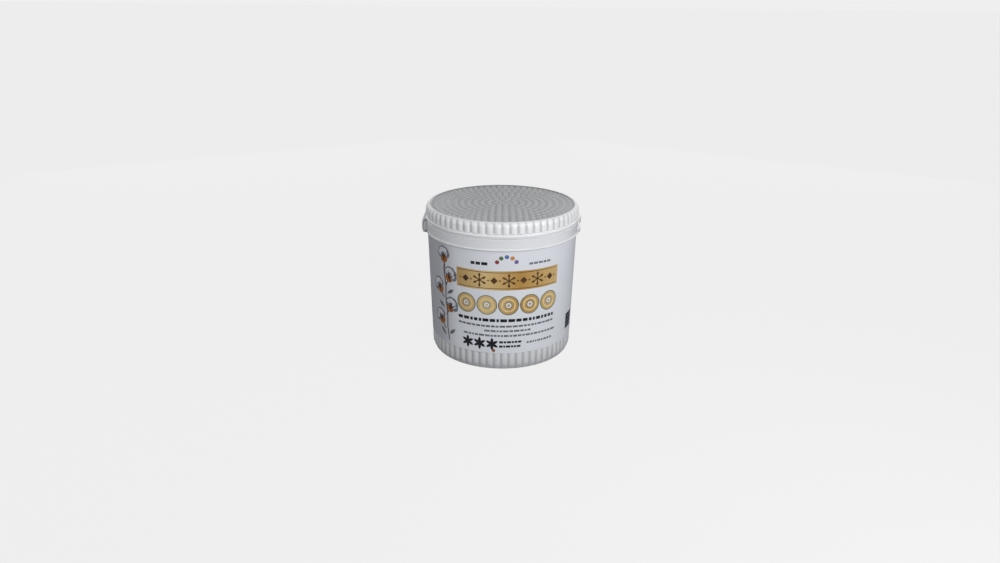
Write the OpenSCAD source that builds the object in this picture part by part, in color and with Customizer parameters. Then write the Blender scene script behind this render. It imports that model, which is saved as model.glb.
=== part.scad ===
// Cotton swab tub: a fluted plastic tub with a wrap label and a flip-top lid on a strap
// hinge, filled with a bundle of standing cotton swabs. Millimetres, +Z up.
// The front faces -Y, the strap hinge is at -X and the thumb tabs are at +X.

/* [Tub] */
// Outer radius of the tub wall right under the collar flange
tub_mouth_r = 40.7; // [36:0.1:46]
// How much the wall's radius shrinks from there down to the table
tub_taper = 1.8; // [0:0.1:4]
// Height from the table to the top of the labelled wall
tub_h = 67.2; // [60:0.2:75]
// Thickness of the moulded walls of tub and neck
wall_t = 1.1; // [0.9:0.1:1.4]
// Thickness of the tub floor
floor_t = 1.2; // [0.9:0.1:2]
// How far the floor is lifted inside the foot ring
foot_recess = 0.8; // [0.4:0.1:1.4]
// Width of the flat ring that the tub stands on
foot_w = 2.6; // [1.8:0.1:4]
// Radius of the rounded corner round the base
base_corner_r = 2.2; // [1.8:0.1:2.6]

/* [Collar and neck] */
// Height of the plain collar above the label, with its flange
collar_h = 6.3; // [5:0.1:8]
// How far the collar band stands out past the wall below it
collar_step = 0.5; // [0.2:0.05:1]
// How far the thin flange at the foot of the collar stands out past the band
flange_lip = 0.5; // [0.3:0.05:1]
// Thickness of the flange and of both hinge ears
flange_t = 1; // [0.8:0.1:1.2]
// Gap between the lid skirt and the neck that stands inside it
neck_gap = 0.9; // [0.8:0.05:1.5]
// Height of the neck above the collar
neck_h = 6.5; // [6:0.1:8]
// How far the snap bead stands out from the neck
snap_bead = 0.35; // [0.2:0.05:0.4]

/* [Flutes] */
// Number of flutes round the base
base_flutes = 62; // [58:1:64]
// Height of the fluted band round the base
base_band_h = 9.9; // [8:0.1:14]
// Height at which the rounded lower ends of the base flutes begin
base_flute_start = 0.8; // [0.5:0.1:1.5]
// Number of flutes round the lid
lid_flutes = 64; // [60:1:66]
// Radius of one rounded flute
flute_r = 2.6; // [2.4:0.1:2.8]
// Depth of the grooves between flutes
groove_depth = 0.6; // [0.4:0.05:0.7]

/* [Lid] */
// How far the crests of the lid flutes lie inside the edge of the flange
lid_inset = 0.2; // [0.1:0.05:0.6]
// Thickness of the lid skirt behind the grooves
skirt_t = 1; // [0.8:0.05:1.4]
// Gap between the lid's lower edge and the collar
parting_gap = 0.2; // [0.15:0.05:0.4]
// Height of the plain rim below the lid flutes
lid_rim_h = 2.5; // [2.3:0.1:3]
// Thickness of the lid top under its pearls
lid_top_t = 1.4; // [1.1:0.1:2]
// Height of the smooth ring round the pearl field
edge_ring_h = 0.6; // [0.5:0.1:0.8]
// Width of the smooth ring, from the flute crests to the pearl field
edge_ring_w = 3.1; // [2.6:0.1:4]
// Distance between two rings of pearls
pearl_pitch = 3.68; // [3.6:0.02:3.68]
// Radius of one pearl where it meets the lid
pearl_r = 1.5; // [1.3:0.05:1.6]
// Height of one pearl
pearl_h = 0.5; // [0.3:0.05:0.6]

/* [Hinge and thumb tabs] */
// Width of the hinge strap
strap_w = 18; // [12:0.5:22]
// Thickness of the hinge strap
strap_t = 0.8; // [0.6:0.05:1]
// How far the closed strap bows outwards between its fold lines
strap_bow = 0.55; // [0.4:0.05:1.5]
// How far the rounded fold at each end swells past the faces of the strap
fold_swell = 0.05; // [0.02:0.01:0.1]
// Lift of the lid's hinge ear above the lid's lower edge
ear_lift = 0.3; // [0.2:0.05:0.8]
// How far the thumb tabs stand out past the flange
tab_reach = 1.3; // [1:0.1:4]
// Width of each thumb tab where it leaves the flange
tab_w = 16; // [12:0.5:20]
// Thickness of each thumb tab
tab_t = 1.5; // [1.2:0.1:1.8]
// How far the lip of the lid's thumb tab hangs down past the lid's lower edge
tab_drop = 1.6; // [0.5:0.1:3]
// Gap between that lip and the collar behind it
tab_gap = 0.6; // [0.4:0.1:0.8]
// How far the pad on the collar behind the strap lies inside the ends of the ears
pad_inset = 0.2; // [0.15:0.05:0.4]

/* [Label] */
// Thickness of the wrap label
label_t = 0.2; // [0.15:0.05:0.3]
// Bare wall left above and below the label
label_margin = 0.3; // [0.2:0.1:1]
// Angle of the gap between the label's two ends, at the back
label_seam = 1.2; // [0.5:0.1:3]

/* [Swabs] */
// Room between the tops of the swabs and the lid, which leaves them their length
headroom = 4.5; // [3:0.5:15]
// Least gap between two cotton tips, which sets how many swabs the tub holds
swab_gap = 0.25; // [0.1:0.05:1]
// Diameter of the stick
stick_d = 2.5; // [2:0.1:2.6]
// Diameter of a cotton tip at its thickest
tip_d = 5.4; // [4.8:0.1:5.6]
// Length of a cotton tip
tip_l = 15; // [13:0.5:17]
// Room between the outermost tips and the wall
bundle_gap = 0.4; // [0.3:0.1:2]

/* [Hidden] */
$fn = 72;

milky_white = "#e4e6ea";
label_white = "#f4f5f8";
stick_white = "#f0f0ea";
cotton_white = "#fbfaf6";

// Gap that keeps a fold free of the ear beside it
fold_gap = 0.03;
// Gap that keeps both folds free of the flange
flange_gap = 0.05;
// Cotton over the end of the stick
tip_cover = 2;
// Cotton round the stick where the tip runs out
tip_edge = 0.15;
// Turn between one swab of the bundle and the next, the golden angle
golden_turn = 137.508;
// Seeds of the spiral left out at its centre, so that the first tips stay apart
first_seed = 1.5;
// Distance between the closest seeds of that spiral, for a radius of sqrt(seed)
closest_seeds = 1.64;
// Small chamfer on moulded edges
edge = 0.3;
// Radius inside the bottom corner of the tub
floor_corner_r = 1.2;
// Radius of the lid's shoulder in the grooves
shoulder_r = 1.7;
// Radius of the bead round the lid's rim
bead_r = 0.6;
// Height of the snap bead above the collar
snap_lift = 2.2;
// Extra length that lets a cutter run clear of a face
over = 1;
// How deep an added piece reaches into what carries it
bite = 0.2;

tub_base_r = tub_mouth_r - tub_taper;
floor_z = foot_recess + floor_t;
collar_z = tub_h + collar_h;
neck_z = collar_z + neck_h;
lid_z = collar_z + parting_gap;
lid_flute_z = lid_z + lid_rim_h;
plate_z = neck_z + lid_top_t;
lid_top_z = plate_z + edge_ring_h;
swab_l = neck_z - floor_z - headroom;

collar_r = tub_mouth_r + collar_step;
flange_r = collar_r + flange_lip;
lid_r = flange_r - lid_inset;
lid_core_r = lid_r - groove_depth;
skirt_inner_r = lid_core_r - skirt_t;
neck_r = skirt_inner_r - neck_gap;
neck_inner_r = neck_r - wall_t;
pearl_field_r = lid_r - edge_ring_w;

fold_r = strap_t / 2 + fold_swell;
low_fold_z = tub_h + flange_t / 2;
high_fold_z = lid_z + ear_lift + flange_t / 2;
fold_x = flange_r + flange_gap + fold_r;
ear_end_x = fold_x - fold_r - fold_gap;

// Outer and inner radius of the tapered tub wall at a height
function wall_r(z) = tub_base_r + (tub_mouth_r - tub_base_r) * z / tub_h;
function inner_r(z) = wall_r(z) - label_t - wall_t;

// Points along an arc in a profile, from one angle to another
function arc(x, z, r, from, to, steps = 6) =
    [for (i = [0 : steps]) let (a = from + (to - from) * i / steps) [x + r * cos(a), z + r * sin(a)]];

// One upright rod, flat below and rounded at the top
module flute_rod(height) {
    rotate_extrude()
        intersection() {
            union() {
                translate([0, height - flute_r]) circle(r = flute_r);
                square([flute_r, height - flute_r]);
            }
            square([flute_r, height]);
        }
}

// A ring of rods half buried in a wall, with a groove at the front. From z_flat they
// run up or down to z_round, where they end in a ball
module flute_ring(count, crest_r, z_flat, z_round) {
    for (i = [0 : count - 1])
        rotate([0, 0, (i + 0.5) * 360 / count - 90])
            translate([crest_r - flute_r, 0, z_flat])
                mirror([0, 0, z_round > z_flat ? 0 : 1])
                    flute_rod(abs(z_round - z_flat));
}

// Half-round thumb tab at +X, from z up. It runs in to the axis side, so a cavity trims it.
// With a drop it has a lip that hangs down outside the collar
module thumb_tab(z, rim_r, drop = 0) {
    tip_x = flange_r + tab_reach;
    rise = tip_x - sqrt(rim_r * rim_r - tab_w * tab_w / 4);
    lobe_r = (tab_w * tab_w / 4 + rise * rise) / (2 * rise);
    difference() {
        translate([tip_x - lobe_r, 0, z - drop])
            cylinder(r = lobe_r, h = tab_t + drop);
        if (drop > 0)
            translate([0, 0, z - drop - over])
                cylinder(r = collar_r + tab_gap, h = drop + over);
    }
}

// Flat ear at -X that carries one fold of the hinge strap
module hinge_ear(fold_z, root_x) {
    translate([-ear_end_x, -strap_w / 2, fold_z - flange_t / 2])
        cube([ear_end_x - root_x, strap_w, flange_t]);
}

// Flat pad at -X that fills out the collar behind the hinge strap
module hinge_pad() {
    pad_x = ear_end_x - pad_inset;
    translate([-pad_x, -strap_w / 2, tub_h])
        cube([pad_x - neck_r, strap_w, collar_h]);
}

module tub_outside() {
    corner_x = tub_base_r - base_corner_r;
    foot_x = corner_x - foot_w;
    label_low = base_band_h + label_margin;
    label_high = tub_h - label_margin;
    snap_z = collar_z + snap_lift;
    rotate_extrude()
        polygon(concat(
            [[0, foot_recess], [foot_x - foot_recess, foot_recess], [foot_x, 0]],
            arc(corner_x, base_corner_r - groove_depth, base_corner_r - groove_depth, -90, 0),
            [[wall_r(base_band_h) - groove_depth, base_band_h], [wall_r(base_band_h), base_band_h]],
            [[wall_r(label_low), label_low], [wall_r(label_low) - label_t, label_low]],
            [[wall_r(label_high) - label_t, label_high], [wall_r(label_high), label_high]],
            [[wall_r(tub_h), tub_h], [flange_r - edge, tub_h], [flange_r, tub_h + edge]],
            [[flange_r, tub_h + flange_t - edge], [flange_r - edge, tub_h + flange_t]],
            [[collar_r, tub_h + flange_t], [collar_r, collar_z - edge], [collar_r - edge, collar_z]],
            [[neck_r, collar_z], [neck_r, snap_z - 2 * snap_bead], [neck_r + snap_bead, snap_z]],
            [[neck_r, snap_z + 2 * snap_bead], [neck_r, neck_z - edge], [neck_r - edge, neck_z]],
            [[0, neck_z]]
        ));
}

module tub_cavity() {
    rotate_extrude()
        polygon(concat(
            [[0, floor_z]],
            arc(inner_r(floor_z) - floor_corner_r, floor_z + floor_corner_r, floor_corner_r, -90, 0),
            [[inner_r(tub_h), tub_h], [neck_inner_r, collar_z - wall_t], [neck_inner_r, neck_z + over]],
            [[0, neck_z + over]]
        ));
}

module tub() {
    color(milky_white)
        difference() {
            union() {
                tub_outside();
                flute_ring(base_flutes, wall_r(base_band_h / 2), base_band_h, base_flute_start);
                thumb_tab(tub_h, flange_r);
                hinge_ear(low_fold_z, neck_r);
                hinge_pad();
            }
            tub_cavity();
        }
}

module label() {
    low = base_band_h + label_margin;
    high = tub_h - label_margin;
    color(label_white)
        rotate([0, 0, 90 + label_seam / 2])
            rotate_extrude(angle = 360 - label_seam)
                polygon([
                    [wall_r(low) - label_t, low], [wall_r(low), low],
                    [wall_r(high), high], [wall_r(high) - label_t, high]
                ]);
}

// A bowed plate between two rounded folds, one at the collar flange and one at the lid
module hinge_strap() {
    half_rise = (high_fold_z - low_fold_z) / 2;
    bow_r = (half_rise * half_rise + strap_bow * strap_bow) / (2 * strap_bow);
    half_turn = asin(half_rise / bow_r);
    color(milky_white) {
        translate([bow_r - fold_x - strap_bow, strap_w / 2, low_fold_z + half_rise])
            rotate([90, 0, 0])
                rotate([0, 0, 180 - half_turn])
                    rotate_extrude(angle = 2 * half_turn)
                        translate([bow_r - strap_t / 2, 0])
                            square([strap_t, strap_w]);
        for (z = [low_fold_z, high_fold_z])
            translate([-fold_x, strap_w / 2, z])
                rotate([90, 0, 0])
                    cylinder(r = fold_r, h = strap_w);
    }
}

module lid_outside() {
    bead_z = lid_z + lid_rim_h / 2;
    rotate_extrude()
        polygon(concat(
            [[0, lid_z], [lid_r - edge, lid_z]],
            arc(lid_r - bead_r, bead_z, bead_r, -45, 90),
            [[lid_core_r - bite, bead_z + bead_r], [lid_core_r - bite, lid_flute_z], [lid_core_r, lid_flute_z]],
            arc(lid_core_r - shoulder_r, lid_top_z - shoulder_r, shoulder_r, 0, 90),
            [[0, lid_top_z]]
        ));
}

// Rings of low domes round one dome at the centre, with as many in the outer ring as flutes
module pearls() {
    dome_r = (pearl_r * pearl_r + pearl_h * pearl_h) / (2 * pearl_h);
    rings = floor((pearl_field_r - pearl_r) / pearl_pitch);
    for (ring = [0 : rings], count = max(1, round(lid_flutes * ring / rings)), i = [0 : count - 1])
        rotate([0, 0, (i + 0.5) * 360 / count - 90])
            translate([ring * pearl_pitch, 0, plate_z - bite])
                rotate_extrude()
                    union() {
                        square([pearl_r, bite]);
                        intersection() {
                            translate([0, bite + pearl_h - dome_r]) circle(r = dome_r);
                            translate([0, bite]) square([pearl_r + over, pearl_h + over]);
                        }
                    }
}

module lid() {
    color(milky_white) {
        difference() {
            union() {
                lid_outside();
                flute_ring(lid_flutes, lid_r, lid_flute_z, lid_top_z - bite / 2);
                thumb_tab(lid_z, lid_r, tab_drop);
                hinge_ear(high_fold_z, skirt_inner_r);
            }
            translate([0, 0, lid_z - over])
                cylinder(r = skirt_inner_r, h = neck_z - lid_z + over);
            translate([0, 0, plate_z])
                cylinder(r1 = pearl_field_r, r2 = pearl_field_r + over, h = over);
        }
        pearls();
    }
}

// Places a swab at each seed of a sunflower spiral that fills the tub
module bundle() {
    narrowest_r = min(inner_r(floor_z), inner_r(tub_h), neck_inner_r);
    spread = (tip_d + swab_gap) / closest_seeds;
    last_seed = pow((narrowest_r - tip_d / 2 - bundle_gap) / spread, 2);
    for (i = [0 : floor(last_seed - first_seed)])
        rotate([0, 0, i * golden_turn])
            translate([spread * sqrt(i + first_seed), 0, floor_z])
                children();
}

module swab_sticks() {
    color(stick_white)
        bundle()
            translate([0, 0, tip_cover])
                cylinder(d = stick_d, h = swab_l - 2 * tip_cover);
}

// A cotton tip with its round end at z = 0, a taper and the stick's bore above
module cotton_tip() {
    belly_r = tip_d / 2;
    rotate_extrude()
        difference() {
            union() {
                intersection() {
                    translate([0, belly_r]) circle(r = belly_r);
                    square(belly_r);
                }
                polygon([
                    [0, belly_r], [belly_r, belly_r], [stick_d / 2 + tip_edge, tip_l], [0, tip_l]
                ]);
            }
            translate([0, tip_cover]) square([stick_d / 2, tip_l]);
        }
}

module swab_tips() {
    color(cotton_white)
        bundle() {
            cotton_tip();
            translate([0, 0, swab_l])
                mirror([0, 0, 1])
                    cotton_tip();
        }
}

tub();
label();
hinge_strap();
lid();
swab_sticks();
swab_tips();
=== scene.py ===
# %% [markdown]
# # A cotton swab tub
# The object is a small round tub of milky moulded plastic, closed by a flip-top lid, with a
# printed label round it and a bundle of cotton swabs inside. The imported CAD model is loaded
# first as a fixed frame. It holds every rigid form at its real size, so each piece below
# takes its place from the frame and rides on one of the frame's bodies. Sizes named here
# without MM are in millimetres, and three small distances say when two places are one.

# %% Load the frame
import math
import random

import bpy
from mathutils import Matrix, Vector
from mathutils.bvhtree import BVHTree


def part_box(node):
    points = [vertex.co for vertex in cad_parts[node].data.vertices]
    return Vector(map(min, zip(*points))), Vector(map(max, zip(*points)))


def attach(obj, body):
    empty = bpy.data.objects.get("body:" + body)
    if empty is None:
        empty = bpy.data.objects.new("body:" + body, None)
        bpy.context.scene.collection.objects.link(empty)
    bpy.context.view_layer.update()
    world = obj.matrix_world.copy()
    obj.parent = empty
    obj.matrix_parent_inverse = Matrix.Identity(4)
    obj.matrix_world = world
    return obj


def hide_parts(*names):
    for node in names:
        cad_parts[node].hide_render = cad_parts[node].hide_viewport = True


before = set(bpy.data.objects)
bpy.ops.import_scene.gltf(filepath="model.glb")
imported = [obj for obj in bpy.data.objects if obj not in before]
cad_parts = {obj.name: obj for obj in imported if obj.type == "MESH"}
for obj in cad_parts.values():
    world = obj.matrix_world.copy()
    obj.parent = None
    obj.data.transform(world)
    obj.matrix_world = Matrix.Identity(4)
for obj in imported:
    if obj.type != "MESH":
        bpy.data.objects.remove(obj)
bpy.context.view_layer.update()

MM = 0.001
HAIR = 0.01 * MM
WELD = 0.005 * MM
SAME_PLACE = 0.001 * MM
print("frame nodes:", sorted(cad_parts))

# %% [markdown]
# ## Helpers for modelling by operator
# An operator acts on everything that is selected, so each step starts by selecting only
# what it means to change. In edit mode the same holds for the vertices, which are picked
# here by a rule on their place.

# %% Selecting in code
def select_only(*objects):
    """In object mode, selects just these objects, or none, and makes the last of them active."""
    if bpy.context.object and bpy.context.object.mode == "EDIT":
        bpy.ops.object.mode_set(mode="OBJECT")
    bpy.ops.object.select_all(action="DESELECT")
    for each in objects:
        each.select_set(True)
        bpy.context.view_layer.objects.active = each


def select_vertices(piece, rule):
    """In edit mode, selects the vertices whose place passes the rule, and their edges and faces."""
    bpy.ops.object.mode_set(mode="OBJECT")
    for edge in piece.data.edges:
        edge.select = False
    for face in piece.data.polygons:
        face.select = False
    for vertex in piece.data.vertices:
        vertex.select = bool(rule(vertex.co))
    bpy.ops.object.mode_set(mode="EDIT")
    bpy.ops.mesh.select_mode(type="VERT")


def apply_modifier(piece, kind, **settings):
    """Adds one modifier with its settings and applies it at once."""
    select_only(piece)
    modifier = piece.modifiers.new(kind.lower(), kind)
    for name, value in settings.items():
        setattr(modifier, name, value)
    bpy.ops.object.modifier_apply(modifier=modifier.name)


def join(pieces, name):
    """Makes one object of several, with its place in its mesh."""
    whole = pieces[-1]
    select_only(*pieces)
    if len(pieces) > 1:
        bpy.ops.object.join()
    bpy.ops.object.transform_apply(location=True, rotation=True, scale=True)
    whole.name = name
    whole.data.name = name
    return whole


def copy_to(source, place):
    """A copy of a piece with its own mesh, put somewhere by a matrix."""
    copy = bpy.data.objects.new(source.name, source.data.copy())
    bpy.context.scene.collection.objects.link(copy)
    copy.matrix_world = place
    return copy


def radius_at(node, height, slack=0.1 * MM):
    """Largest distance from the axis among a CAD node's vertices at about this height."""
    level = [v.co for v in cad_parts[node].data.vertices if abs(v.co.z - height) < slack]
    return max(math.hypot(co.x, co.y) for co in level)


# %% [markdown]
# ## The camera
# The photograph was taken from a little above, close enough for the lid's ellipse to look
# rounder than the base's. The distance and the tilt were fitted to those two ellipses. The
# lens keeps the view as wide as the photograph, and a small shift puts the tub a little
# above the middle of the frame, where it stands there.

# %% Camera
PHOTO_WIDTH = 1000
FOCAL_PIXELS = 743.5
CAMERA_DISTANCE = 418.5 * MM
CAMERA_TILT = math.radians(20.3)
CAMERA_ROLL = math.radians(0.57)
SENSOR_WIDTH = 36
FRAME_SHIFT = (-0.0017, -0.0072)
LOOKED_AT = Vector((0, 0, 40 * MM))

back = Vector((0, -math.cos(CAMERA_TILT), math.sin(CAMERA_TILT)))
stand = LOOKED_AT + back * CAMERA_DISTANCE
bpy.ops.object.camera_add(location=stand)
camera = bpy.context.object
camera.name = "camera"
aim = (-back).to_track_quat("-Z", "Y").to_matrix().to_4x4()
camera.matrix_world = Matrix.Translation(stand) @ aim @ Matrix.Rotation(CAMERA_ROLL, 4, "Z")
camera.data.sensor_width = SENSOR_WIDTH
camera.data.lens = FOCAL_PIXELS * SENSOR_WIDTH / PHOTO_WIDTH
camera.data.shift_x, camera.data.shift_y = FRAME_SHIFT
bpy.context.scene.camera = camera
print("camera stands at", [round(c / MM) for c in stand], "mm")

# %% [markdown]
# ## Colours and nodes
# Colours are written as on a paint chart, in sRGB hex, and one function turns them into the
# linear values that Blender's sockets hold. A second function adds one node of any kind,
# sets its inputs and links them, so a material reads as a short list. Most of the finishes
# here are cloudy between two close colours, so that pattern is a function too.

# %% Colour and node helpers
def linear(code):
    """An sRGB hex colour such as "#e4e6ea" as linear red, green, blue and alpha."""
    channels = [int(code[i : i + 2], 16) / 255 for i in (1, 3, 5)]
    return [c / 12.92 if c <= 0.04045 else ((c + 0.055) / 1.055) ** 2.4 for c in channels] + [1.0]


def set_inputs(tree, node, inputs):
    """Gives each input a value, or links it where the value is another node's socket."""
    for name, value in inputs.items():
        if isinstance(value, bpy.types.NodeSocket):
            tree.links.new(value, node.inputs[name])
        else:
            node.inputs[name].default_value = value


def add_node(tree, kind, inputs, **settings):
    """Adds one node of any kind, with its settings and inputs."""
    node = tree.nodes.new(kind)
    for name, value in settings.items():
        setattr(node, name, value)
    set_inputs(tree, node, inputs)
    return node


def new_material(name):
    """An empty node material: its tree, its Object coordinates and its surface shader."""
    material = bpy.data.materials.new(name)
    material.use_nodes = True
    tree = material.node_tree
    surface = tree.nodes["Principled BSDF"]
    place = add_node(tree, "ShaderNodeTexCoord", {}).outputs["Object"]
    return material, tree, place, surface


def per_metre(millimetres):
    """The scale of a texture whose features are this many millimetres apart."""
    return 1 / (millimetres * MM)


def clouded(tree, place, pitch, detail, dark, light):
    """Clouds that are pitch mm apart, and the two colours mixed by them."""
    clouds = add_node(
        tree, "ShaderNodeTexNoise", {"Vector": place, "Scale": per_metre(pitch), "Detail": detail}
    )
    tint = add_node(
        tree,
        "ShaderNodeMix",
        {0: clouds.outputs["Fac"], 6: linear(dark), 7: linear(light)},
        data_type="RGBA",
    )
    return clouds.outputs["Fac"], tint.outputs[2]


# %% [markdown]
# ## Floor, background and light
# The tub stands on a pale seamless ground that runs into a background of the same grey. To
# the camera the ground is mostly an even glow, and a small share of it is a real matt
# surface that keeps the soft shadow. To other rays it is dark grey, so that it throws little
# light up at the tub. The main light comes from the front right and low, as the dull lid
# and the bright flutes of the photograph show. A weaker lamp and the world fill the shaded
# side. Two more lamps stand behind, so that the back, which the photograph does not show,
# can be looked at too.

# %% World
bpy.context.scene.view_settings.view_transform = "Standard"
BACKDROP = "#efefef"
FILL_LIGHT = 0.2

world = bpy.data.worlds.new("studio")
bpy.context.scene.world = world
world.use_nodes = True
tree = world.node_tree
tree.nodes.clear()
rays = add_node(tree, "ShaderNodeLightPath", {})
seen = rays.outputs["Is Camera Ray"]
for kind in ("Is Glossy Ray", "Is Transmission Ray"):
    either = add_node(tree, "ShaderNodeMath", {0: seen, 1: rays.outputs[kind]}, operation="MAXIMUM")
    seen = either.outputs[0]
fill = add_node(tree, "ShaderNodeBackground", {"Color": linear("#ffffff"), "Strength": FILL_LIGHT})
backdrop = add_node(tree, "ShaderNodeBackground", {"Color": linear(BACKDROP), "Strength": 1.0})
shown = add_node(tree, "ShaderNodeMixShader", {0: seen, 1: fill.outputs[0], 2: backdrop.outputs[0]})
add_node(tree, "ShaderNodeOutputWorld", {"Surface": shown.outputs[0]})
print("world has", len(tree.nodes), "nodes")

# %% Floor
FLOOR_SIZE = 40.0
FLOOR_DROP = 0.02 * MM
SHADOW_SHARE = 0.05
GLOW = 0.877
DARK_GROUND = "#4a4a4a"

select_only()
bpy.ops.mesh.primitive_plane_add(size=FLOOR_SIZE, location=(0, 0, -FLOOR_DROP))
floor = bpy.context.object
floor.name = "floor"
bpy.ops.object.transform_apply(location=True, rotation=False, scale=False)
floor_paint, tree, place, surface = new_material("matt_paper_ground")
rays = add_node(tree, "ShaderNodeLightPath", {})
paper = add_node(
    tree,
    "ShaderNodeMix",
    {0: rays.outputs["Is Camera Ray"], 6: linear(DARK_GROUND), 7: linear(BACKDROP)},
    data_type="RGBA",
)
set_inputs(tree, surface, {"Base Color": paper.outputs[2], "Roughness": 0.9})
glow = add_node(tree, "ShaderNodeEmission", {"Color": linear("#ffffff"), "Strength": GLOW})
share = add_node(
    tree,
    "ShaderNodeMath",
    {0: rays.outputs["Is Camera Ray"], 1: 1 - SHADOW_SHARE},
    operation="MULTIPLY",
)
ground = add_node(
    tree, "ShaderNodeMixShader", {0: share.outputs[0], 1: surface.outputs[0], 2: glow.outputs[0]}
)
set_inputs(tree, tree.nodes["Material Output"], {"Surface": ground.outputs[0]})
floor.data.materials.append(floor_paint)
print("floor is", FLOOR_SIZE, "m wide")

# %% Lamps
def area_lamp(name, azimuth, height, distance, size, level):
    """A square lamp facing the tub. Its level is its light on a surface that faces it there."""
    azimuth, height = math.radians(azimuth), math.radians(height)
    toward = Vector((
        math.sin(azimuth) * math.cos(height),
        -math.cos(azimuth) * math.cos(height),
        math.sin(height),
    ))
    bpy.ops.object.light_add(type="AREA", location=LOOKED_AT + toward * distance)
    lamp = bpy.context.object
    lamp.name = name
    lamp.rotation_euler = (-toward).to_track_quat("-Z", "Y").to_euler()
    lamp.data.size = size
    lamp.visible_camera = False
    lamp.data.energy = level * (math.pi * distance) ** 2
    print(name, "gives", round(lamp.data.energy, 1), "W")


area_lamp("key_lamp", azimuth=33, height=22, distance=0.34, size=0.22, level=0.69)
area_lamp("side_lamp", azimuth=-64, height=3, distance=0.6, size=0.5, level=0.45)
area_lamp("back_left_lamp", azimuth=-150, height=12, distance=0.6, size=0.5, level=0.16)
area_lamp("back_right_lamp", azimuth=150, height=12, distance=0.6, size=0.5, level=0.16)

# %% [markdown]
# ## Milky moulded plastic
# The tub, its strap and its lid are one injection moulding in natural polypropylene with a
# little white pigment. To the eye it is a cool milky white: light enters it, so edges glow
# a little, and the mould leaves a half-gloss skin with a faint uneven grain. The real grain
# is about 0.1 mm and would not show, so it is drawn 0.8 mm wide and very shallow. Where a
# plate is thin, the shade behind it would show through, so the lid's plate and its pearls
# get the same plastic in greyer tones, as painted shade. The foot is painted greyer towards
# the bottom, as painted shade, and so are the grooves between the flutes, as painted shade
# in the grooves. They are found by a cosine of the angle round the axis, which is highest in
# the middle of each groove. The wall's inner face has no flutes, so the painted groove shade
# starts a little way inside the wall.

# %% Moulded polypropylene
# Painted shade: this grey is mixed in towards the foot and in the grooves between the flutes.
PAINTED_SHADE_GREY = "#8f9194"
FOOT_SHADE = 0.35
FOOT_SHADE_HEIGHTS = (1 * MM, 12 * MM)
GROOVE_SHADE = 0.5
UNSHADED_RIB = 0.1
WITHIN_WALL = 0.2


def groove_shade(tree, place, apart, flutes, low, high, inside_r):
    """Painted shade in the grooves of a band of flutes, between two heights and outside inside_r, in mm.
    """
    away = add_node(tree, "ShaderNodeMath", {0: apart.outputs["Y"], 1: -1.0}, operation="MULTIPLY")
    turn = add_node(
        tree, "ShaderNodeMath", {0: apart.outputs["X"], 1: away.outputs[0]}, operation="ARCTAN2"
    )
    waves = add_node(tree, "ShaderNodeMath", {0: turn.outputs[0], 1: flutes}, operation="MULTIPLY")
    crest = add_node(tree, "ShaderNodeMath", {0: waves.outputs[0]}, operation="COSINE")
    shade_amount = add_node(
        tree,
        "ShaderNodeMapRange",
        {"Value": crest.outputs[0], "From Min": UNSHADED_RIB, "From Max": 1.0, "To Max": GROOVE_SHADE},
    )
    flat = add_node(tree, "ShaderNodeVectorMath", {0: place, 1: (1, 1, 0)}, operation="MULTIPLY")
    radius = add_node(tree, "ShaderNodeVectorMath", {0: flat.outputs[0]}, operation="LENGTH")
    outside = add_node(
        tree, "ShaderNodeMath", {0: radius.outputs["Value"], 1: inside_r * MM}, operation="GREATER_THAN"
    )
    band = add_node(
        tree,
        "ShaderNodeMath",
        {0: apart.outputs["Z"], 1: (low + high) / 2 * MM, 2: (high - low) / 2 * MM},
        operation="COMPARE",
    )
    for mask in (outside, band):
        shade_amount = add_node(
            tree, "ShaderNodeMath", {0: shade_amount.outputs[0], 1: mask.outputs[0]}, operation="MULTIPLY"
        )
    return shade_amount.outputs[0]


def moulded_polypropylene(name, dark, light, let_through=0.2, grooves=None):
    """Milky polypropylene, cloudy between two close colours. A thin piece lets more light through."""
    material, tree, place, surface = new_material(name)
    clouds, colour = clouded(tree, place, 14, 2.0, dark, light)
    grain = add_node(
        tree, "ShaderNodeTexNoise", {"Vector": place, "Scale": per_metre(0.8), "Detail": 3.0}
    )
    skin = add_node(
        tree,
        "ShaderNodeBump",
        {"Height": grain.outputs["Fac"], "Strength": 0.12, "Distance": 0.02 * MM},
    )
    polish = add_node(tree, "ShaderNodeMapRange", {"Value": clouds, "To Min": 0.28, "To Max": 0.36})
    apart = add_node(tree, "ShaderNodeSeparateXYZ", {0: place})
    # Painted shade: the colour turns greyer from 12 mm down to 1 mm above the bottom.
    full_shade_height, shade_free_height = FOOT_SHADE_HEIGHTS
    rise = add_node(
        tree,
        "ShaderNodeMapRange",
        {"Value": apart.outputs["Z"], "From Min": shade_free_height, "From Max": full_shade_height, "To Max": FOOT_SHADE},
    )
    painted_shades = [rise.outputs[0]]
    # Painted shade in the grooves, where shade falls between the flutes.
    if grooves:
        painted_shades.append(groove_shade(tree, place, apart, *grooves))
    for shade_amount in painted_shades:
        shaded_colour = add_node(tree, "ShaderNodeMix", {0: shade_amount, 6: colour, 7: linear(PAINTED_SHADE_GREY)}, data_type="RGBA")
        colour = shaded_colour.outputs[2]
    looks = {
        "Base Color": colour,
        "Normal": skin.outputs["Normal"],
        "Roughness": polish.outputs[0],
        "IOR": 1.49,
        "Specular IOR Level": 0.4,
        "Subsurface Weight": let_through,
        "Subsurface Radius": (1.0, 0.95, 0.9),
        "Subsurface Scale": 1.2 * MM,
    }
    set_inputs(tree, surface, looks)
    return material


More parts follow.
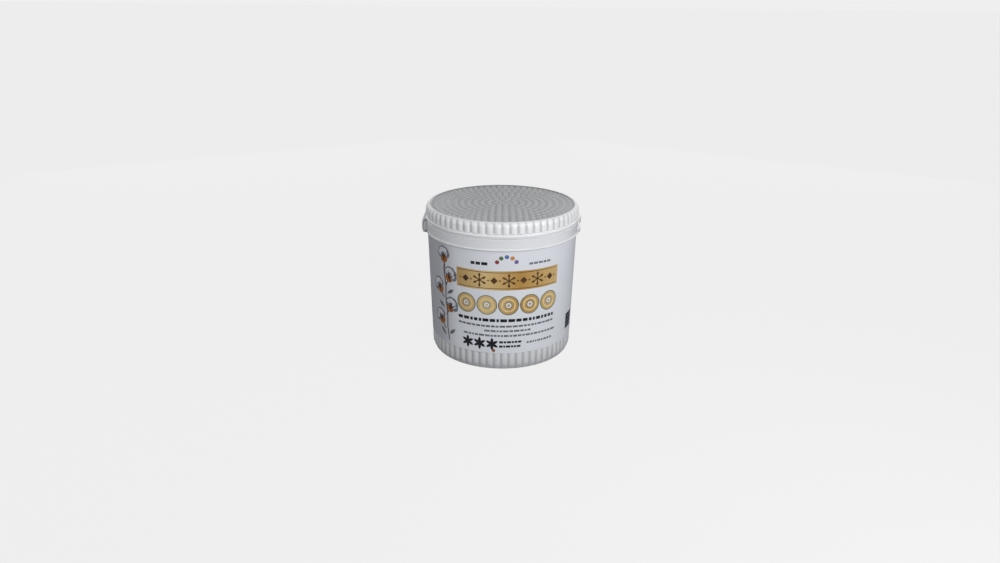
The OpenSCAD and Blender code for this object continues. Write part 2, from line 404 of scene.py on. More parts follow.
# Greyer copies of the plastic paint shade on the lid's plate and its pearls.
plate_shade_milky = moulded_polypropylene("plate_shade_polypropylene", "#95979a", "#9e9fa2")
pearl_shade_milky = moulded_polypropylene("pearl_shade_polypropylene", "#c2c4c7", "#cbccce")
strap_milky = moulded_polypropylene("strap_moulded_polypropylene", "#e3e5e9", "#ecedf0", 1.0)
print("three plastics, for the thin plate, the pearls and the strap")

# %% [markdown]
# ## Flutes round a moulding
# The tub's foot and the lid's edge are fluted: a ring of round upright ribs with narrow
# grooves between them. Ribs could be rods pushed into a wall by a boolean, but that leaves
# long thin triangles, which shade badly. Here the section of the moulding is drawn as a
# chain of points and spun through the width of one flute only. That wedge is pushed out to
# the round of the rib, and an Array round the axis repeats it into a clean closed skin.

# %% Section, wedge and array
COLUMNS = 10
SMOOTH_UP_TO = math.radians(32)


def draw_section(points, name):
    """A chain of edges through (radius, height) points in mm, in the plane of the front groove."""
    places = [Vector((0, -radius * MM, height * MM)) for radius, height in points]
    select_only()
    bpy.ops.mesh.primitive_plane_add(size=MM, location=places[0])
    section = join([bpy.context.object], name)
    bpy.ops.object.mode_set(mode="EDIT")
    bpy.ops.mesh.select_all(action="SELECT")
    bpy.ops.mesh.merge(type="CENTER")
    for before, after in zip(places, places[1:]):
        bpy.ops.mesh.extrude_region_move(TRANSFORM_OT_translate={"value": after - before})
    return section


def bend_points(centre_r, centre_z, radius, start, stop, steps):
    """Points along a round corner of a section, in mm, between two angles in degrees."""
    turns = [math.radians(start + (stop - start) * i / steps) for i in range(steps + 1)]
    return [(centre_r + radius * math.cos(t), centre_z + radius * math.sin(t)) for t in turns]


def spin_wedge(section, flutes):
    """Spins a section through the width of one flute."""
    bpy.ops.mesh.select_all(action="SELECT")
    bpy.ops.mesh.spin(steps=COLUMNS, angle=math.tau / flutes, center=(0, 0, 0), axis=(0, 0, 1))
    bpy.ops.mesh.select_all(action="SELECT")
    bpy.ops.mesh.remove_doubles(threshold=SAME_PLACE)
    bpy.ops.object.mode_set(mode="OBJECT")


def push_out_flute(wedge, low, high, crest_r, flute_r, ball_z):
    """Pushes the wedge's skin between two heights out to a rib that ends in a ball at ball_z."""
    axis_r = crest_r - flute_r
    band = [v.co.copy() for v in wedge.data.vertices if low * MM - HAIR < v.co.z < high * MM + HAIR]
    outside = [co for co in band if math.hypot(co.x, co.y) > (axis_r + flute_r / 2) * MM]
    middle = sum((co for co in outside), Vector()).to_2d()
    for co in outside:
        turn = co.to_2d().angle(middle)
        past_ball = max(0, (co.z / MM - ball_z) * (1 if ball_z > (low + high) / 2 else -1))
        inside = flute_r**2 - (axis_r * math.sin(turn)) ** 2 - past_ball**2
        reach = axis_r * math.cos(turn) + math.sqrt(max(0, inside))
        grow = reach * MM / math.hypot(co.x, co.y)
        if grow > 1:
            select_vertices(wedge, lambda other, co=co: (other - co).length < SAME_PLACE)
            bpy.ops.transform.resize(value=(grow, grow, 1), center_override=(0, 0, 0))
    bpy.ops.object.mode_set(mode="OBJECT")


def repeat_round(wedge, flutes):
    """Repeats a wedge round the axis, joins the copies and turns every face outwards."""
    select_only()
    bpy.ops.object.empty_add(rotation=(0, 0, math.tau / flutes))
    turned = bpy.context.object
    apply_modifier(
        wedge,
        "ARRAY",
        count=flutes,
        use_relative_offset=False,
        use_object_offset=True,
        offset_object=turned,
        use_merge_vertices=True,
        use_merge_vertices_cap=True,
        merge_threshold=WELD,
    )
    bpy.data.objects.remove(turned)
    tidy_shell(wedge)


def tidy_shell(piece, smooth=SMOOTH_UP_TO):
    """Merges doubles, turns the faces outwards and shades the curves smooth."""
    select_only(piece)
    bpy.ops.object.mode_set(mode="EDIT")
    bpy.ops.mesh.select_all(action="SELECT")
    bpy.ops.mesh.remove_doubles(threshold=WELD)
    bpy.ops.mesh.normals_make_consistent(inside=False)
    bpy.ops.object.mode_set(mode="OBJECT")
    bpy.ops.object.shade_smooth_by_angle(angle=smooth)


def stray(piece, node, tab_half=12 * MM):
    """Largest distance in mm from the shell's corners to its CAD node, away from tabs and ears."""
    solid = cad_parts[node].data
    solid.calc_loop_triangles()
    tree = BVHTree.FromPolygons(
        [v.co for v in solid.vertices], [t.vertices for t in solid.loop_triangles]
    )
    clear = [v.co for v in piece.data.vertices if abs(v.co.y) > tab_half]
    return max(tree.find_nearest(co)[3] for co in clear) / MM


# %% [markdown]
# ## The tub
# The tub is a tapered cup with a fluted foot, a shallow recess for the label, a thin flange
# under a plain collar, and a neck with a snap bead that stands inside the lid. Its section
# runs from the middle of the underside out and up to the neck's rim, and back down inside.
# A thumb tab and a flat hinge ear stick out of the flange, and a pad fills out the collar
# behind the strap. They are small pieces of their own, let into the wall, as their edges
# are easier to round before they are joined on.

# %% Tub section
WALL_FOOT_R = 38.9
WALL_HEAD_R = 40.7
WALL_T = 1.1
SHOULDER_Z = 67.2
FLOOR_Z = 2.0
FLOOR_ROUND = 1.2
FOOT_RECESS = 0.8
FOOT_RING_R = 34.1
FOOT_ROUND = 1.6

TUB_FLUTES = 62
FLUTE_R = 2.6
GROOVE_DEPTH = 0.6
FLUTE_FOOT = 0.8
BALL_Z = FLUTE_FOOT + FLUTE_R
BAND_TOP = 9.9
RIB_LEVELS = (2.1, 2.7, BALL_Z, 6.6, BAND_TOP)
SEAT_DEPTH = 0.2

EDGE = 0.3
FLANGE_R = 41.7
FLANGE_TOP = 68.2
COLLAR_R = 41.2
COLLAR_TOP = 73.5
NECK_R = 39.0
NECK_IN_R = NECK_R - WALL_T
NECK_TOP = 80.0
SNAP_Z = 75.7
SNAP_BEAD = 0.35


def wall_r(height):
    """Radius of the tub's tapered wall at a height in mm."""
    return WALL_FOOT_R + (WALL_HEAD_R - WALL_FOOT_R) * height / SHOULDER_Z


def bore_r(height):
    """Radius of the wall's inner face, behind the label's seat, at a height in mm."""
    return wall_r(height) - SEAT_DEPTH - WALL_T


foot = [
    (0, FOOT_RECESS),
    (FOOT_RING_R - FOOT_RECESS, FOOT_RECESS),
    (FOOT_RING_R, 0),
] + bend_points(WALL_FOOT_R - GROOVE_DEPTH - FOOT_ROUND, FOOT_ROUND, FOOT_ROUND, -90, 0, 8)
grooves = [(wall_r(height) - GROOVE_DEPTH, height) for height in RIB_LEVELS]
seat_low, seat_high = (corner.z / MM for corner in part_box("label"))
label_seat = [
    (wall_r(BAND_TOP), BAND_TOP),
    (wall_r(seat_low), seat_low),
    (wall_r(seat_low) - SEAT_DEPTH, seat_low),
    (wall_r(seat_high) - SEAT_DEPTH, seat_high),
    (wall_r(seat_high), seat_high),
    (WALL_HEAD_R, SHOULDER_Z),
]
flange_and_collar = [
    (FLANGE_R - EDGE, SHOULDER_Z),
    (FLANGE_R, SHOULDER_Z + EDGE),
    (FLANGE_R, FLANGE_TOP - EDGE),
    (FLANGE_R - EDGE, FLANGE_TOP),
    (COLLAR_R, FLANGE_TOP),
    (COLLAR_R, COLLAR_TOP - EDGE),
    (COLLAR_R - EDGE, COLLAR_TOP),
]
neck = [
    (NECK_R, COLLAR_TOP),
    (NECK_R, SNAP_Z - 2 * SNAP_BEAD),
    (NECK_R + SNAP_BEAD, SNAP_Z),
    (NECK_R, SNAP_Z + 2 * SNAP_BEAD),
    (NECK_R, NECK_TOP - EDGE),
    (NECK_R - EDGE, NECK_TOP),
    (NECK_IN_R, NECK_TOP),
]
inside = (
    [(NECK_IN_R, COLLAR_TOP - WALL_T), (bore_r(SHOULDER_Z), SHOULDER_Z)]
    + bend_points(bore_r(FLOOR_Z) - FLOOR_ROUND, FLOOR_Z + FLOOR_ROUND, FLOOR_ROUND, 0, -90, 4)
    + [(0, FLOOR_Z)]
)

tub = draw_section(foot + grooves + label_seat + flange_and_collar + neck + inside, "tub_moulding")
spin_wedge(tub, TUB_FLUTES)
push_out_flute(tub, FLUTE_FOOT, BAND_TOP, wall_r(BAND_TOP / 2), FLUTE_R, BALL_Z)
repeat_round(tub, TUB_FLUTES)
print("tub shell has", len(tub.data.polygons), "faces and strays", round(stray(tub, "tub"), 3), "mm")

# %% Thumb tabs and hinge ears
TAB_REACH = 43.0
TAB_THICKNESS = 1.5
TAB_WIDTH = 16
TAB_ROOT = 40.0
LIP_BACK_R = COLLAR_R + 0.6
STRAP_WIDTH = 18
EAR_ROOT = 39.6
EAR_END = 41.72
PAD_INSET = 0.1
PAD_BOW = 0.42
PAD_STEPS = 8
TAB_EDGE = 0.15
BLOCK_EDGE = 0.1


def soften(piece, width):
    """Rounds every sharp edge of a small piece."""
    apply_modifier(piece, "BEVEL", width=width * MM, segments=2, limit_method="ANGLE")
    tidy_shell(piece)
    return piece


def thumb_tab(rim_r, low, cut_x, drop=0):
    """A half-round tab, cut off inside the rim. With a drop, a lip hangs down outside the collar."""
    rise = TAB_REACH - math.sqrt(rim_r**2 - TAB_WIDTH**2 / 4)
    lobe_r = (TAB_WIDTH**2 / 4 + rise**2) / (2 * rise)
    select_only()
    bpy.ops.mesh.primitive_cylinder_add(
        vertices=128,
        radius=lobe_r * MM,
        depth=(TAB_THICKNESS + drop) * MM,
        location=((TAB_REACH - lobe_r) * MM, 0, (low + (TAB_THICKNESS - drop) / 2) * MM),
    )
    tab = join([bpy.context.object], "thumb_tab")
    bpy.ops.object.mode_set(mode="EDIT")
    bpy.ops.mesh.select_all(action="SELECT")
    bpy.ops.mesh.bisect(
        plane_co=(cut_x * MM, 0, 0), plane_no=(-1, 0, 0), use_fill=True, clear_outer=True
    )
    bpy.ops.object.mode_set(mode="OBJECT")
    if drop:
        bpy.ops.mesh.primitive_cylinder_add(
            vertices=256,
            radius=LIP_BACK_R * MM,
            depth=TAB_WIDTH * MM,
            location=(0, 0, (low - TAB_WIDTH / 2) * MM),
        )
        collar_room = bpy.context.object
        apply_modifier(tab, "BOOLEAN", operation="DIFFERENCE", object=collar_room)
        bpy.data.objects.remove(collar_room)
    return soften(tab, TAB_EDGE)


def hinge_block(low, high, inner_x, outer_x):
    """A flat block at the back of the hinge: an ear, or the pad behind the strap."""
    select_only()
    bpy.ops.mesh.primitive_cube_add(
        size=MM,
        location=(-(outer_x + inner_x) / 2 * MM, 0, (low + high) / 2 * MM),
        scale=(outer_x - inner_x, STRAP_WIDTH, high - low),
    )
    return soften(join([bpy.context.object], "hinge_block"), BLOCK_EDGE)


def bow_out(pad, bow):
    """Swells a block's outer face, so that it fills the hollow behind the bowed strap."""
    low, high = (pick(v.co.z for v in pad.data.vertices) for pick in (min, max))
    outer = min(v.co.x for v in pad.data.vertices)
    select_only(pad)
    bpy.ops.object.mode_set(mode="EDIT")
    levels = [low + (high - low) * i / PAD_STEPS for i in range(1, PAD_STEPS)]
    for level in levels:
        bpy.ops.mesh.select_all(action="SELECT")
        bpy.ops.mesh.bisect(plane_co=(0, 0, level), plane_no=(0, 0, 1))
    face = outer + 2 * BLOCK_EDGE * MM
    for i, level in enumerate(levels, 1):
        select_vertices(pad, lambda co: abs(co.z - level) < HAIR and co.x < face)
        bulge = 1 - (2 * i / PAD_STEPS - 1) ** 2
        bpy.ops.transform.translate(value=(-bow * bulge * MM, 0, 0))
    tidy_shell(pad)
    return pad


def paint(piece, material):
    """Gives a whole piece one material."""
    piece.data.materials.clear()
    piece.data.materials.append(material)


def finish_moulding(piece, node, body):
    """Lets a finished piece stand for its CAD node and ride on its body."""
    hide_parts(node)
    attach(piece, body)


tub_tab = thumb_tab(FLANGE_R, SHOULDER_Z, TAB_ROOT)
tub_ear = hinge_block(SHOULDER_Z, FLANGE_TOP, EAR_ROOT, EAR_END)
strap_pad = bow_out(hinge_block(SHOULDER_Z + PAD_INSET, COLLAR_TOP, EAR_ROOT, EAR_END), PAD_BOW)
# The tub's plastic, with painted shade towards the foot and in the grooves between the flutes.
tub_milky = moulded_polypropylene(
    "tub_moulded_polypropylene",
    "#e0e2e6",
    "#e9eaed",
    grooves=(TUB_FLUTES, FLUTE_FOOT, BAND_TOP, bore_r(BAND_TOP) + WITHIN_WALL),
)
for piece in (tub_tab, tub_ear, tub):
    paint(piece, tub_milky)
paint(strap_pad, strap_milky)
tub = join([tub_tab, tub_ear, strap_pad, tub], "tub_moulding")
finish_moulding(tub, "tub", "tub_body")
print("tub has", len(tub.data.polygons), "faces")

# %% [markdown]
# ## The lid
# The lid has a plain rim with a bead, the ring of flutes with rounded tops, a smooth ring,
# and a sunken plate covered with low pearls. The pearls stand in rings round one pearl in
# the middle, with as many in the outer ring as there are flutes. One pearl is the cap of a
# sphere, cut off by bisect, with few faces, and it is copied to every place. The lid's
# thumb tab has a lip that hangs down outside the collar, for a fingernail to catch. The
# lid is drawn a shade whiter than the tub, as it looks in the photograph, though both are
# one moulding: the lid's whiter plastic is painted light.

# %% Lid section
LID_FLUTES = 64
LID_R = 41.5
LID_CORE_R = LID_R - GROOVE_DEPTH
SKIRT_IN_R = LID_CORE_R - 1.0
LID_LOW = 73.7
BEAD_Z = LID_LOW + 1.25
BEAD_ROUND = 0.6
RIM_STEP = 0.2
LID_FLUTE_Z = 76.2
LID_RIB_LEVELS = (77.8, 79.3, 79.8)
RIB_DROP = 0.1
PLATE_Z = 81.4
LID_TOP = 82.0
LID_ROUND = 1.7
FIELD_R = 38.4
FIELD_EDGE_R = FIELD_R + LID_TOP - PLATE_Z

skirt = [(0, NECK_TOP), (SKIRT_IN_R, NECK_TOP), (SKIRT_IN_R, LID_LOW), (LID_R - EDGE, LID_LOW)]
bead = bend_points(LID_R - BEAD_ROUND, BEAD_Z, BEAD_ROUND, -45, 90, 6)
step = [
    (LID_CORE_R - RIM_STEP, BEAD_Z + BEAD_ROUND),
    (LID_CORE_R - RIM_STEP, LID_FLUTE_Z),
    (LID_CORE_R, LID_FLUTE_Z),
]
band = [(LID_CORE_R, height) for height in LID_RIB_LEVELS]
shoulder = bend_points(LID_CORE_R - LID_ROUND, LID_TOP - LID_ROUND, LID_ROUND, 0, 90, 10)
field_edge = [(FIELD_EDGE_R, LID_TOP), (FIELD_R, PLATE_Z), (0, PLATE_Z)]

lid = draw_section(skirt + bead + step + band + shoulder + field_edge, "lid_moulding")
spin_wedge(lid, LID_FLUTES)
push_out_flute(
    lid, LID_FLUTE_Z, LID_TOP - 2 * RIB_DROP, LID_R, FLUTE_R, LID_TOP - RIB_DROP - FLUTE_R
)
repeat_round(lid, LID_FLUTES)
print("lid shell has", len(lid.data.polygons), "faces and strays", round(stray(lid, "lid"), 3), "mm")

# %% Pearls
PEARL_RINGS = 10
PEARL_PITCH = 3.68
PEARL_R = 1.5
PEARL_H = 0.5
SUNK = 0.15

ball_r = (PEARL_R**2 + PEARL_H**2) / (2 * PEARL_H)
select_only()
bpy.ops.mesh.primitive_uv_sphere_add(
    segments=12, ring_count=16, radius=ball_r * MM, location=(0, 0, (PLATE_Z + PEARL_H - ball_r) * MM)
)
pearl = join([bpy.context.object], "pearl")
bpy.ops.object.mode_set(mode="EDIT")
bpy.ops.mesh.select_all(action="SELECT")
bpy.ops.mesh.bisect(
    plane_co=(0, 0, (PLATE_Z - SUNK) * MM), plane_no=(0, 0, -1), use_fill=True, clear_outer=True
)
bpy.ops.object.mode_set(mode="OBJECT")
tidy_shell(pearl)
paint(pearl, pearl_shade_milky)
print("one pearl has", len(pearl.data.polygons), "faces")

pearls = []
for ring in range(PEARL_RINGS + 1):
    count = max(1, round(LID_FLUTES * ring / PEARL_RINGS))
    for i in range(count):
        turn = (i + 0.5) * math.tau / count - math.pi / 2
        out = Matrix.Translation((ring * PEARL_PITCH * MM, 0, 0))
        pearls.append(copy_to(pearl, Matrix.Rotation(turn, 4, "Z") @ out))
bpy.data.objects.remove(pearl)

# %% Lid tab, ear and plastics
LIP_DROP = 1.6
LID_TAB_ROOT = 40.4
LID_EAR_ROOT = 40.2
LID_EAR_LOW = LID_LOW + 0.3
LID_EAR_TOP = LID_EAR_LOW + 1.0
# The painted groove shade runs up to here, between the rounded flute tops.
LID_SHADE_TOP = LID_TOP - 0.4
PLATE_SHADE_R = 39.2  # the corners where the edge turns down, most of which round to a little less

lid_tab = thumb_tab(LID_R, LID_LOW, LID_TAB_ROOT, LIP_DROP)
lid_ear = hinge_block(LID_EAR_LOW, LID_EAR_TOP, LID_EAR_ROOT, EAR_END)
# A whiter copy of the tub's plastic, as painted light, with painted shade in the grooves between its
# flutes.
lid_milky = moulded_polypropylene(
    "lid_moulded_polypropylene",
    "#eeeff2",
    "#f6f7f9",
    grooves=(LID_FLUTES, LID_FLUTE_Z, LID_SHADE_TOP, SKIRT_IN_R + WITHIN_WALL),
)
for piece in (lid, lid_tab, lid_ear):
    paint(piece, lid_milky)
# Painted shade: the plate inside the shoulder gets the greyer plastic.
lid.data.materials.append(plate_shade_milky)
select_only(lid)
select_vertices(lid, lambda co: co.z > (PLATE_Z - SUNK) * MM and math.hypot(co.x, co.y) < PLATE_SHADE_R * MM)
lid.active_material_index = 1
bpy.ops.object.material_slot_assign()
lid = join(pearls + [lid_tab, lid_ear, lid], "lid_moulding")
finish_moulding(lid, "lid", "lid_body")
print(len(pearls), "pearls; lid has", len(lid.data.polygons), "faces")

# %% [markdown]
# ## The hinge strap
# The strap is a short bowed plate of the same moulding between two thin folds. Its form is
# already true in the CAD model, so it is a copy of that mesh. The mesh is loose triangles,
# so the copy's corners are merged first, and then its bow and folds can be shaded smooth.

# %% Strap
strap = copy_to(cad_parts["hinge_strap"], Matrix.Identity(4))
strap.name = "strap_moulding"
tidy_shell(strap)
paint(strap, strap_milky)
finish_moulding(strap, "hinge_strap", "strap_body")
print("strap has", len(strap.data.polygons), "faces")

# %% [markdown]
# ## The wrap label
# The label is a printed plastic film, glued round the tapered wall with its two ends almost
# meeting at the back. It could be a copy of the CAD sleeve too, but the print has to lie on
# it exactly, so it is modelled as a sheet first: an open cylinder of 300 columns, each as
# wide as the gap between the two ends. One column is deleted for that gap, the top ring is
# widened to the wall's taper, and Solidify gives the film its thickness at the end. The
# film is polypropylene, cast thin and printed, with a half-gloss face. It looks a cool
# white, with slow waves from the glue, and its colour runs into a soft grey at the left,
# as painted shade on that side.

# %% Printed film
# Painted shade: the film turns grey towards its left side, between these two places.
LEFT_SHADE_ENDS = -22 * MM
LEFT_SHADE_FULL = -34 * MM


def printed_film():
    """White film that turns to a soft grey at the left, as painted shade."""
    material, tree, place, surface = new_material("printed_polypropylene_film")
    white = clouded(tree, place, 20, 2.0, "#dde1e9", "#e6e9ef")[1]
    apart = add_node(tree, "ShaderNodeSeparateXYZ", {0: place})
    # Painted shade: the film's colour is mixed towards grey on the left.
    left_shade = add_node(
        tree,
        "ShaderNodeMapRange",
        {"Value": apart.outputs["X"], "From Min": LEFT_SHADE_ENDS, "From Max": LEFT_SHADE_FULL},
        interpolation_type="SMOOTHSTEP",
    )
    ground = add_node(
        tree, "ShaderNodeMix", {0: left_shade.outputs[0], 6: white, 7: linear("#bcbfc6")}, data_type="RGBA"
    )
    waves = add_node(
        tree, "ShaderNodeTexNoise", {"Vector": place, "Scale": per_metre(6), "Detail": 1.0}
    )
    relief = add_node(
        tree, "ShaderNodeBump", {"Height": waves.outputs["Fac"], "Strength": 0.1, "Distance": 0.05 * MM}
    )
    looks = {
        "Base Color": ground.outputs[2],
        "Normal": relief.outputs["Normal"],
        "Roughness": 0.38,
        "IOR": 1.49,
        "Specular IOR Level": 0.4,
    }
    set_inputs(tree, surface, looks)
    return material


film = printed_film()

# %% Label sheet
LABEL_COLUMNS = 300
HALF_COLUMN = math.pi / LABEL_COLUMNS

label_low, label_high = (corner.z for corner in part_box("label"))
label_foot_r = radius_at("label", label_low)
label_head_r = radius_at("label", label_high)

select_only()
bpy.ops.mesh.primitive_cylinder_add(
    vertices=LABEL_COLUMNS,
    radius=label_foot_r,
    depth=label_high - label_low,
    end_fill_type="NOTHING",
    location=(0, 0, (label_low + label_high) / 2),
    rotation=(0, 0, HALF_COLUMN),
)
label_film = join([bpy.context.object], "label_film")
select_vertices(label_film, lambda co: co.z > (label_low + label_high) / 2)
widen = label_head_r / label_foot_r
bpy.ops.transform.resize(value=(widen, widen, 1), center_override=(0, 0, 0))
select_vertices(label_film, lambda co: co.y > 0 and abs(co.x) < label_head_r * HALF_COLUMN * 1.2)
bpy.ops.mesh.delete(type="ONLY_FACE")
bpy.ops.object.mode_set(mode="OBJECT")
label_film.data.materials.append(film)
print("label runs from", round(label_low / MM, 1), "to", round(label_high / MM, 1), "mm")

# %% [markdown]
# ## The print on the label
# The film carries a generic design in the colours of such a label: a gold band, gold
# medallions, a sprig with white puffs, stars of swabs and rows of dashes where small print
# would be. It could be drawn in the film's shader, but shapes on a curved wall are easier to
# place as thin pieces. Each mark is a copy of a flat stencil in the plane y = 0, at its real
# size, with x along the wall and z up. The finished sheet of marks is then wrapped round.
# Offset ink on film dries half-glossy, in screen dots of about 0.1 mm. These would not show,
# so the ink is mottled in patches of one to three millimetres.

# %% Inks
def printed_ink(name, dark, light, patch=2.5):
    """A half-gloss ink on film, mottled between two close colours."""
    material, tree, place, surface = new_material(name)
    cloud = add_node(
        tree, "ShaderNodeTexNoise", {"Vector": place, "Scale": per_metre(patch), "Detail": 2.0}
    )
    spread = add_node(
        tree, "ShaderNodeMapRange", {"Value": cloud.outputs["Fac"], "From Min": 0.35, "From Max": 0.65}
    )
    tint = add_node(
        tree,
        "ShaderNodeMix",
        {0: spread.outputs[0], 6: linear(dark), 7: linear(light)},
        data_type="RGBA",
    )
    looks = {"Base Color": tint.outputs[2], "Roughness": 0.4, "Specular IOR Level": 0.4}
    set_inputs(tree, surface, looks)
    return material


def gold_ink(left=-24 * MM, right=30 * MM):
    """Gold that runs darker and lighter along the wall, as a printed gradient does."""
    material, tree, place, surface = new_material("gold_ink")
    apart = add_node(tree, "ShaderNodeSeparateXYZ", {0: place})
    along = add_node(
        tree, "ShaderNodeMapRange", {"Value": apart.outputs["X"], "From Min": left, "From Max": right}
    )
    ramp = add_node(tree, "ShaderNodeValToRGB", {0: along.outputs[0]})
    stops = ramp.color_ramp.elements
    for at, code in ((0.0, "#b9975f"), (0.28, "#d9bd86"), (0.62, "#b48a45"), (1.0, "#cfb27c")):
        stop = stops[0] if at == 0 else stops[-1] if at == 1 else stops.new(at)
        stop.color = linear(code)
    looks = {"Base Color": ramp.outputs["Color"], "Roughness": 0.35, "Specular IOR Level": 0.5}
    set_inputs(tree, surface, looks)
    return material


GOLD = gold_ink()
LIGHT_GOLD = printed_ink("light_gold_ink", "#dcc591", "#ead7a8")
BLACK = printed_ink("black_ink", "#15161b", "#212229")
GREY = printed_ink("grey_ink", "#5f636b", "#7b7f87")
BROWN = printed_ink("brown_ink", "#3f2a1a", "#5a3c24")
RUST = printed_ink("rust_ink", "#7c4a22", "#b5733a", 1.2)
TEAL = printed_ink("teal_ink", "#5d6a62", "#74817a")
SHADE = printed_ink("puff_shade_ink", "#62656f", "#8d909b", 1.5)
PUFF = printed_ink("puff_ink", "#b9bcc8", "#e6e8ef", 1.5)
DOTS = [
    printed_ink("dot_ink_" + name, dark, light)
    for name, dark, light in (
        ("red", "#7e2a35", "#93404a"),
        ("green", "#4f6f45", "#648457"),
        ("blue", "#45619a", "#5f79ad"),
        ("orange", "#b87335", "#cb8b4e"),
        ("violet", "#6b4f8c", "#8068a0"),
    )
]
print(sum("ink" in material.name for material in bpy.data.materials), "inks")

# %% Stencils
def stencil(name):
    """Keeps the primitive just added as a stencil in the plane y = 0."""
    return join([bpy.context.object], name)


def flat_ring(inner, outer, name):
    """A flat ring between two radii in mm: a circle whose edge is extruded and widened."""
    select_only()
    bpy.ops.mesh.primitive_circle_add(vertices=40, radius=inner * MM, rotation=(math.pi / 2, 0, 0))
    ring = stencil(name)
    bpy.ops.object.mode_set(mode="EDIT")
    bpy.ops.mesh.select_all(action="SELECT")
    bpy.ops.mesh.extrude_region_move()
    bpy.ops.transform.resize(value=(outer / inner, 1, outer / inner), center_override=(0, 0, 0))
    bpy.ops.object.mode_set(mode="OBJECT")
    return ring


select_only()
bpy.ops.mesh.primitive_plane_add(size=MM, rotation=(math.pi / 2, 0, 0))
square = stencil("square")
bpy.ops.mesh.primitive_circle_add(
    vertices=20, radius=0.5 * MM, fill_type="NGON", rotation=(math.pi / 2, 0, 0)
)
disc = stencil("disc")
leaf = copy_to(disc, Matrix.Identity(4))
leaf.name = "leaf"
select_only(leaf)
select_vertices(leaf, lambda co: abs(co.x) > 0.49 * MM)
bpy.ops.transform.resize(value=(1.5, 1, 1), center_override=(0, 0, 0))
bpy.ops.object.mode_set(mode="OBJECT")
gold_ring = flat_ring(1.9, 5.0, "gold_ring")
rim_ring = flat_ring(5.0, 5.5, "rim_ring")
eye_ring = flat_ring(1.5, 1.9, "eye_ring")
shine_ring = flat_ring(3.0, 3.8, "shine_ring")
stencils = (square, disc, leaf, gold_ring, rim_ring, eye_ring, shine_ring)
print("stencils:", [shape.name for shape in stencils])

# %% Marks
layers = [[] for layer in range(5)]


def mark(layer, shape, ink, along, height, wide=1, high=1, turn=0):
    """Adds a copy of a stencil to a layer, in one ink, at a place on the unrolled label in mm."""
    at = Matrix.Translation((along * MM, 0, height * MM))
    turned = Matrix.Rotation(math.radians(-turn), 4, "Y")
    copy = copy_to(shape, at @ turned @ Matrix.Diagonal((wide, 1, high, 1)))
    copy.data.materials.clear()
    copy.data.materials.append(ink)
    layers[layer].append(copy)


def dash_row(ink, start, stop, height, thick, dash, gap):
    """A row of dashes of uneven length, as wide as a line of small print."""
    along = start
    while along < stop - dash / 2:
        length = min(random.uniform(0.5, 1.5) * dash, stop - along)
        mark(0, square, ink, along + length / 2, height, length, thick)
        along += length + gap


def heading(degrees):
    """The direction on the unrolled label at this angle from the rightward one."""
    return Vector((math.cos(math.radians(degrees)), math.sin(math.radians(degrees))))


def swab_star(layer, ink, along, height, size, thick):
    """Three swabs laid across each other as a small star."""
    for turn in (90, 30, -30):
        mark(layer, square, ink, along, height, size, thick, turn)
        for end in (-0.5, 0.5):
            place = Vector((along, height)) + end * size * heading(turn)
            mark(layer, leaf, ink, *place, 0.3 * size, 0.22 * size, turn)


print(len(layers), "layers of ink")

# %% [markdown]
# ### Gold band and medallions
# Gold ink on such a label is a printed gradient, from a dark to a pale ochre, with a thin
# grey-green line round each shape. The band is one field with a row of swab stars and
# diamonds on it. Below it stand five medallions, each made of rings that do not overlap
# within a layer, because two films of ink at one height would flicker in the render.

# %% Band and medallions
BAND_LEFT, BAND_RIGHT = -24.5, 32
BAND_LOW, BAND_HIGH = 46, 56.5
MEDALLION_RISE = 37.6
STAR_PITCH = 7.6
MEDALLION_PITCH = 11.4
DOT_ARC = Vector((2.5, 58.6))
DOT_ARC_R = 5.6
band_middle = (BAND_LEFT + BAND_RIGHT) / 2
band_rise = (BAND_LOW + BAND_HIGH) / 2

mark(0, square, GOLD, band_middle, band_rise, BAND_RIGHT - BAND_LEFT, BAND_HIGH - BAND_LOW)
for height in (BAND_LOW + 0.9, BAND_HIGH - 0.9):
    mark(1, square, BROWN, band_middle, height, BAND_RIGHT - BAND_LEFT - 2, 0.3)
for i in range(7):
    along = band_middle + (i - 3) * STAR_PITCH
    if i % 2:
        swab_star(1, BROWN, along, band_rise, 5.6, 0.6)
    else:
        mark(1, square, BROWN, along, band_rise, 2.7, 2.7, 45)
        for side in (-3, 3):
            mark(1, disc, BROWN, along + side, band_rise, 0.9, 0.9)
for i in range(5):
    along = band_middle + (i - 2) * MEDALLION_PITCH
    for layer, ring, ink in (
        (0, gold_ring, GOLD),
        (0, rim_ring, TEAL),
        (0, eye_ring, TEAL),
        (1, shine_ring, LIGHT_GOLD),
    ):
        mark(layer, ring, ink, along, MEDALLION_RISE)
    mark(0, disc, GOLD, along, MEDALLION_RISE, 1.5, 1.5)
for i, ink in enumerate(DOTS):
    mark(0, disc, ink, *(DOT_ARC + DOT_ARC_R * heading(150 - 30 * i)), 2.2, 2.2)
print(sum(len(layer) for layer in layers), "marks so far")

# %% [markdown]
# ### Rows of dashes and signs
# Small print on a label reads as rows of grey or black from a step away. Here rows of dashes
# of uneven length take its place, at its height and strength. Their lengths are drawn at
# random with a fixed seed, so that each run gives the same label.

# %% Rows and signs
STAR_RISE = 15.3
PANEL_ALONG, PANEL_RISE = 48.2, 19.5

